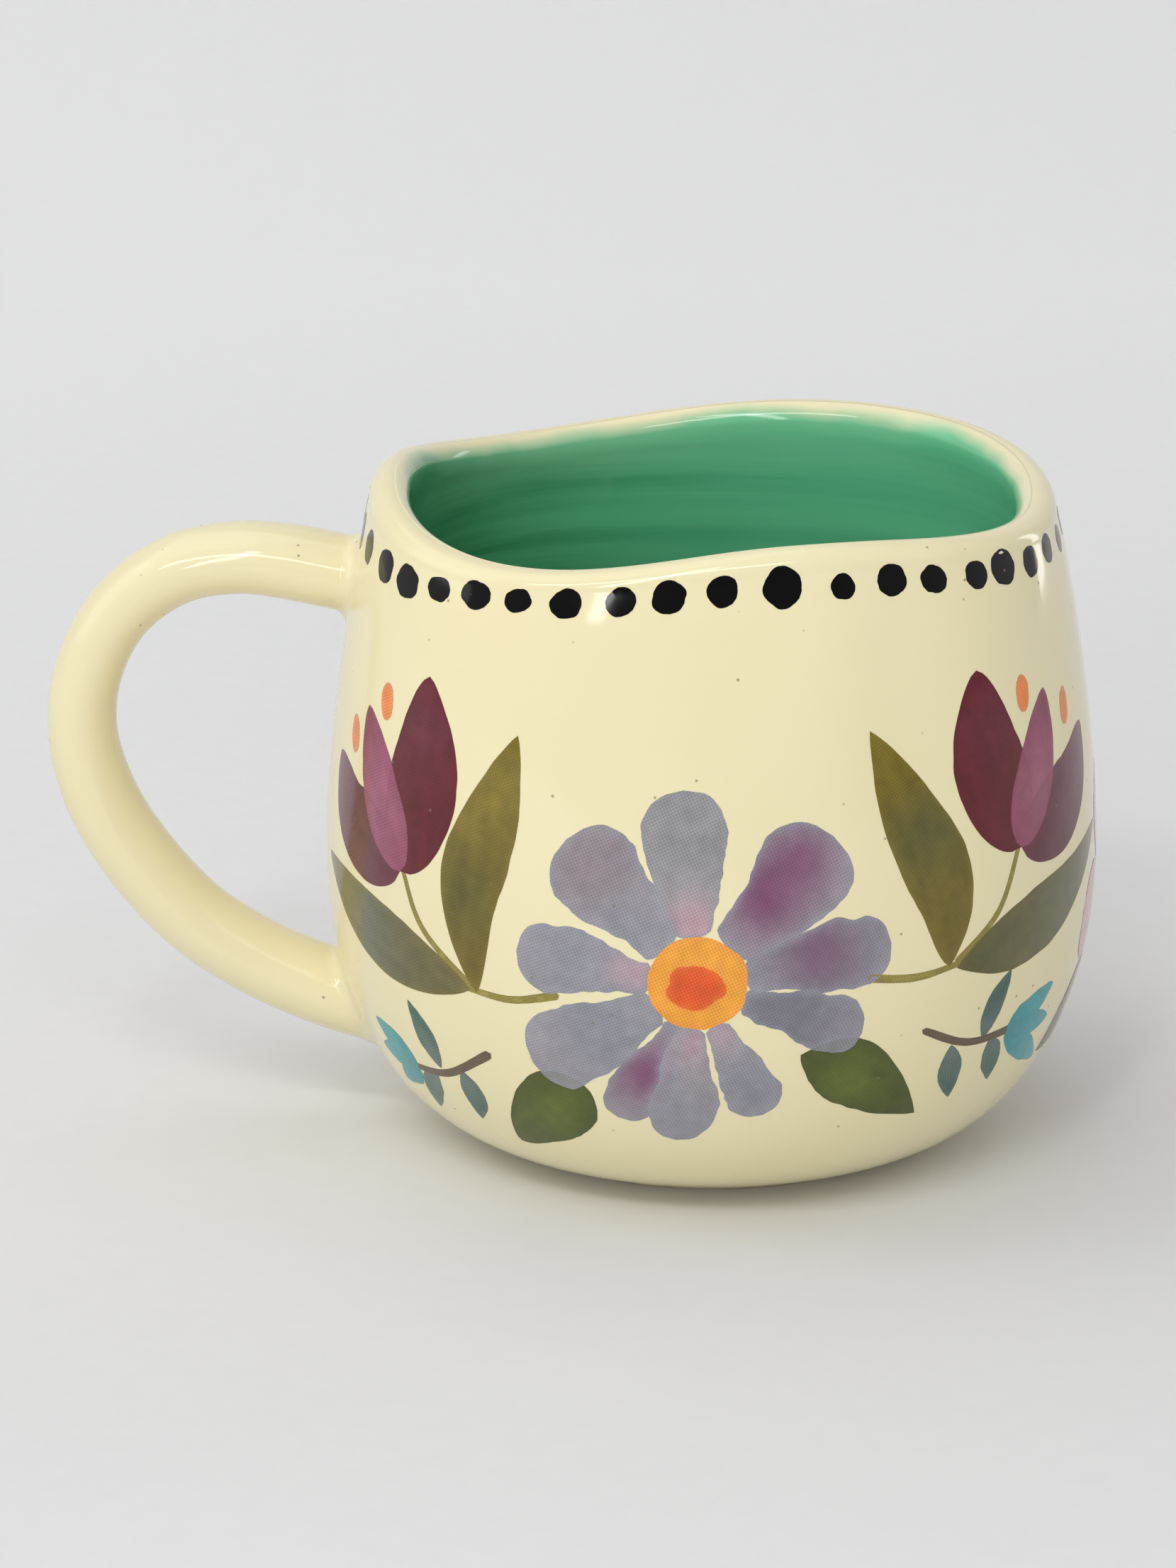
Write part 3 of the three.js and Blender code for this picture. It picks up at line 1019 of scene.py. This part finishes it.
def right_tulip():
    sage_blooms = [(0.6, 0, 7, SAGE_BLUE, 0.3), (0.1, 0, 6, OLIVE_DARK, 0.6)]
    olive_blooms = [(0.6, -1, 6, OLIVE_DARK, 0.6), (0.85, 0, 5, OLIVE_GOLD, 0.4)]
    sage = Paint(SAGE, sage_blooms, OLIVE, 0.2)
    olive = Paint(OLIVE, olive_blooms, OLIVE_GOLD, 0.22)
    stalk = Paint(STEM_GREEN, (), OLIVE, 0.2)
    return [
        stroke([(-1.8, 9.2), (-5.6, 1.0), (-12.6, -4.6)], 0.85, stalk, stem_width, 0.06, 71),
        stroke([(-11.5, -4.6), (-18.0, -5.4), (-25.0, -4.6)], 0.95, stalk, stem_width, 0.06, 72),
        stroke([(-12.2, -5.2), (-1.6, -3.7), (10.0, -0.6), (22.8, 5.4)],
               9.2, sage, leaf_width, 0.35, 73, lean=0.1),
        stroke([(-13.4, -4.8), (-14.4, 5.0), (-18.4, 15.0), (-22.9, 25.8)],
               9.6, olive, leaf_width, 0.4, 74),
    ] + tulip((-1.6, 8.2), (-7.6, 31.6), (4.6, 27.2), (16.6, 20.0), [(0.0, 27.4), (10.2, 23.5)], 81)


def bud_sprig(seed, bud_root, bud_tips, stem_line, up_leaf, down_leaves):
    """A brown twig with small teal leaves and a turquoise bud at one end."""
    bark = Paint(BARK, (), BARK, 0.2)
    teal = Paint(PINE_TEAL, [(0.25, 0, 3.5, DUSK_TEAL, 0.9)], DUSK_TEAL, 0.25)
    dusk = Paint(DUSK_TEAL, [(0.8, 0, 3, PINE_TEAL, 0.7)], DUSK_TEAL, 0.25)
    aqua = Paint(AQUA, [(0.1, 0, 3.0, AQUA_DEEP, 0.8)], AQUA, 0.2)
    strokes = [stroke(up_leaf, 3.6, teal, leaf_width, 0.2, seed)]
    for k, line in enumerate(down_leaves):
        strokes.append(stroke(line, 3.6, dusk, leaf_width, 0.2, seed + 1 + k))
    strokes.append(stroke(stem_line, 1.1, bark, stem_width, 0.08, seed + 4))
    for k, tip in enumerate(bud_tips):
        strokes.append(stroke([bud_root, tip], 4.2, aqua, tulip_width, 0.3, seed + 5 + k))
    return strokes


def left_sprig():
    return bud_sprig(
        91, (-5.2, -3.4), [(-13.4, 1.6), (-13.8, -2.6), (-11.0, -7.4)],
        [(-6.0, -3.4), (1.6, -2.2), (10.4, 3.0)],
        [(0.4, -1.8), (-1.0, 2.6), (-3.2, 7.2)],
        [[(-1.0, -2.6), (-3.4, -6.0), (-4.8, -10.4)], [(4.4, -1.0), (5.0, -5.0), (4.2, -9.2)]])


def right_sprig():
    return bud_sprig(
        101, (2.6, -0.6), [(12.6, 3.4), (13.4, -1.6), (13.6, -8.2)],
        [(-12.9, 3.2), (-5.0, -0.2), (4.0, -0.4)],
        [(-2.2, -0.4), (-1.2, 4.0), (1.2, 8.4)],
        [[(-7.6, 0.0), (-6.6, -4.2), (-5.0, -8.6)], [(-0.6, -0.6), (0.8, -4.0), (1.8, -7.8)]])


def pink_flower():
    """A rounder, pink flower with eight petals, for the side away from the handle."""
    bottle = Paint(BOTTLE, [(0.5, 0.5, 4, MOSS, 0.8)], OLIVE_DARK, 0.25)
    blooms = [(0.35, 0, 5, BLUSH_DEEP, 0.7), (0.9, 0, 4, BLUSH_PALE, 0.6)]
    blush = Paint(BLUSH, blooms, BLUSH_FRINGE, 0.18, 0.8)
    strokes = [
        stroke([(12.0, -5.0), (18.5, -9.6), (26.0, -14.6)], 8.6, bottle, leaf_width, 0.4, 141),
        stroke([(-12.0, -9.0), (-17.0, -14.0), (-24.0, -19.0)], 9.0, bottle, leaf_width, 0.4, 142),
    ]
    for k in range(8):
        length = 22.3 + 1.2 * math.sin(2.1 * k)
        width = 11.4 + 0.9 * math.cos(1.7 * k)
        strokes.append(petal(45 * k + 8, length, width, blush, 120 + k))
    eye = blob((0, 0), 11.6, 11.4, Paint(YOLK, (), YOLK_FRINGE, 0.10), 131, 0.06)
    heart = blob((0.2, -0.2), 6.2, 5.6, Paint(PLUM, (), (0.45, 0.10, 0.10), 0.15, 0.92), 132, 0.2)
    return strokes + [eye, heart]


# dots under the rim: degrees from the front and diameter
FRONT_DOTS = (
    (-79.0, 4.0), (-69.5, 3.9), (-60.6, 4.0), (-53.6, 4.5), (-46.4, 3.6), (-39.4, 3.9), (-32.3, 3.3),
    (-24.6, 4.0), (-16.2, 3.8), (-8.4, 4.3), (0.2, 3.9), (10.0, 4.8), (19.7, 3.1), (27.8, 3.9),
    (35.0, 3.5), (43.0, 3.4), (49.2, 4.4), (57.2, 3.8), (65.0, 3.8), (74.5, 3.7), (84.0, 3.8),
)
BACK_DOTS = (92.5, 274.0, 21)       # from, to and how many
BACK_DOT_SIZES = (3.3, 4.7)
BACK_DOT_JITTER = 1.2               # degrees
DOT_LINE = 43.3                     # mm along the wall from the belly
DOT_JITTER = 0.35
DOT_SAG = 1.5


def dot_sag(degrees):
    """The line of dots hangs a little lower just before the handle."""
    return DOT_SAG * smooth_step((-45 - degrees) / 7) * smooth_step((degrees + 92) / 14)


def dot_band():
    rng = random.Random(7)
    dots = list(FRONT_DOTS)
    start, end, count = BACK_DOTS
    for k in range(count):
        degrees = start + (end - start) * k / (count - 1) + rng.uniform(-BACK_DOT_JITTER, BACK_DOT_JITTER)
        dots.append((degrees, rng.uniform(*BACK_DOT_SIZES)))
    film = Film("black_dots")
    ink = Paint(INK, (), INK, 0.1)
    for k, (degrees, size) in enumerate(dots):
        tallness = size * rng.uniform(0.96, 1.12)
        dab = blob((0, 0), size, tallness, ink, 200 + k, 0.12, rng.uniform(-20, 20))
        height = DOT_LINE - dot_sag(degrees) + rng.uniform(-DOT_JITTER, DOT_JITTER)
        film.lay([dab], degrees, height, k, DOT_SPACING)
    return film


SCREEN_STRENGTH = 0.20


def make_painting():
    """Lays every motif on the wall: degrees from the front, mm along the wall, -1 for a mirrored one."""
    paint = printed_paint("printed_flowers", SCREEN_STRENGTH)
    ink = printed_paint("black_brushwork", 0.0)
    dot_band().build(ink, "underglaze_black")
    layout = [
        ("purple_flower", flower_leaves() + purple_flower(), -3, -4.3, 1),
        ("left_tulip", left_tulip(), -50, 0, 1),
        ("right_tulip", right_tulip(), 50, 0, 1),
        ("left_sprig", left_sprig(), -48, -20, 1),
        ("right_sprig", right_sprig(), 46, -16, 1),
        ("pink_flower", pink_flower(), 96.5, -9, -1),
        ("back_tulip", left_tulip(), 166, 1, -1),
        ("back_sprig", left_sprig(), 162, -19, -1),
        ("back_flower", flower_leaves() + purple_flower(), 218, -4.3, -1),
    ]
    for name, strokes, degrees, distance, mirror in layout:
        film = Film(name)
        film.lay(strokes, degrees, distance, len(name), MOTIF_SPACING, mirror)
        film.build(paint, "underglaze_flowers")


# ----------------
# Studio

SWEEP_HALF = 1.6                    # metres, here and for the rest of the studio
SWEEP_FRONT = (-1.6, -0.6, 0.0, 0.4)
SWEEP_DEPTH = 1.1
SWEEP_CURVE = 0.5
SWEEP_CURVE_STEPS = 16
SWEEP_TALL = 1.8
# paper tone near the cup and far behind it; the paler far tone is painted light
PAPER_NEAR = 0.75
PAPER_FAR_PAINTED_LIGHT = 1.0
FIBRE = 0.006


def studio_paper():
    """Matt paper with a faint fibre, painted a little paler behind the cup than around it as painted light.
    """
    shader = Shader("studio_paper")
    place = shader.node("ShaderNodeTexCoord").outputs["Object"]
    behind = shader.node("ShaderNodeSeparateXYZ", {0: place}).outputs["Y"]
    fibre = shader.remap(shader.noise(240.0, 3.0), 0.3, 0.7, -FIBRE, FIBRE)
    # painted light: the paper is painted paler from near the cup to far behind it
    shade = shader.math("ADD", shader.remap(behind, -0.1, 0.6, PAPER_NEAR, PAPER_FAR_PAINTED_LIGHT), fibre)
    paper = shader.node("ShaderNodeCombineColor", {0: shade, 1: shade, 2: shade}).outputs[0]
    shader.feed(shader.surface.inputs["Base Color"], paper)
    shader.surface.inputs["Roughness"].default_value = 0.9
    shader.surface.inputs["Specular IOR Level"].default_value = 0.1
    return shader.material


def make_backdrop():
    """A pale sweep: floor, a wide curve and a wall behind."""
    profile = [(y, 0.0) for y in SWEEP_FRONT]
    for k in range(SWEEP_CURVE_STEPS + 1):
        turn = math.pi / 2 * k / SWEEP_CURVE_STEPS
        profile.append((SWEEP_DEPTH - SWEEP_CURVE + SWEEP_CURVE * math.sin(turn),
                        SWEEP_CURVE - SWEEP_CURVE * math.cos(turn)))
    profile.append((SWEEP_DEPTH, SWEEP_TALL))
    vertices = [(x, y, z) for y, z in profile for x in (-SWEEP_HALF, SWEEP_HALF)]
    faces = [(2 * k, 2 * k + 1, 2 * k + 3, 2 * k + 2) for k in range(len(profile) - 1)]
    mesh = bpy.data.meshes.new("studio_sweep")
    mesh.from_pydata(vertices, [], faces)
    mesh.shade_smooth()
    sweep = bpy.data.objects.new("studio_sweep", mesh)
    bpy.context.scene.collection.objects.link(sweep)
    mesh.materials.append(studio_paper())


def area_light(name, middle, direction, distance, size, power, roll=0.0, glossy=True):
    """A softbox seen from the cup in a direction: degrees round from the front, degrees up.
    One that isn't glossy lights the glaze without being mirrored in it."""
    round_from_front, up = (math.radians(angle) for angle in direction)
    level = math.cos(up)
    toward = Vector((math.sin(round_from_front) * level,
                     -math.cos(round_from_front) * level,
                     math.sin(up)))
    light = bpy.data.lights.new(name, "AREA")
    light.shape = "RECTANGLE"
    light.size, light.size_y = size
    light.energy = power
    obj = bpy.data.objects.new(name, light)
    obj.visible_glossy = glossy
    obj.location = middle + toward * distance
    facing = (-toward).to_track_quat("-Z", "Y")
    obj.rotation_euler = (facing @ Quaternion((0, 0, 1), math.radians(roll))).to_euler()
    bpy.context.scene.collection.objects.link(obj)


def make_lights(middle):
    area_light("window_left", middle, (-86, 30), 1.25, (0.8, 0.8), 1.9)
    area_light("front_softbox", middle, (-20, 43), 1.20, (0.95, 0.13), 3.0)
    area_light("front_bar", middle, (-15.5, 36), 0.95, (0.75, 0.06), 1.3, roll=83)
    area_light("front_fill", middle, (-8, 14), 1.00, (1.3, 0.40), 2.8, glossy=False)
    area_light("fill", middle, (58, 32), 1.30, (0.9, 0.7), 0.8)
    area_light("overhead", middle, (-120, 68), 1.45, (1.4, 1.2), 4.2)
    area_light("right_strip", middle, (128, 10), 0.98, (0.12, 0.44), 0.5)


ROOM_COLOUR = (0.975, 0.98, 1.0, 1)
ROOM_FALL = {"From Min": -0.95, "From Max": 0.1, "To Min": 0.12, "To Max": 0.54}


def make_room():
    """Soft light from above and behind, falling off to a dark room in front of the cup."""
    world = bpy.data.worlds.new("studio")
    world.use_nodes = True
    tree = world.node_tree
    background = tree.nodes["Background"]
    background.inputs["Color"].default_value = ROOM_COLOUR
    direction = tree.nodes.new("ShaderNodeTexCoord")
    axes = tree.nodes.new("ShaderNodeSeparateXYZ")
    strength = tree.nodes.new("ShaderNodeMapRange")
    for socket, value in ROOM_FALL.items():
        strength.inputs[socket].default_value = value
    tree.links.new(direction.outputs["Generated"], axes.inputs[0])
    tree.links.new(axes.outputs["Y"], strength.inputs["Value"])
    tree.links.new(strength.outputs["Result"], background.inputs["Strength"])
    bpy.context.scene.world = world


CAMERA_AIM = Vector((-0.0159, 0.0017, 0.0454))
CAMERA_DISTANCE = 0.650
CAMERA_TILT = math.radians(16.24)
CAMERA_LENS = 114.8
CAMERA_SENSOR = 36.0


def make_camera():
    """Looks along +Y and a little down, aimed between the handle and the cup."""
    back = Vector((0, -math.cos(CAMERA_TILT), math.sin(CAMERA_TILT))) * CAMERA_DISTANCE
    data = bpy.data.cameras.new("camera")
    data.lens = CAMERA_LENS
    data.sensor_width = CAMERA_SENSOR
    camera = bpy.data.objects.new("camera", data)
    camera.location = CAMERA_AIM + back
    camera.rotation_euler = (math.pi / 2 - CAMERA_TILT, 0, 0)
    bpy.context.scene.collection.objects.link(camera)
    bpy.context.scene.camera = camera


cream = cream_glaze()
make_cup(cream)
make_liner(green_glaze())
make_handle(cream)
make_foot(bare_clay())
make_painting()
make_backdrop()
cup_low, cup_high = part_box("cup_body")
make_lights((Vector(cup_low) + Vector(cup_high)) / 2)
make_room()
make_camera()
bpy.context.scene.view_settings.view_transform = "Standard"
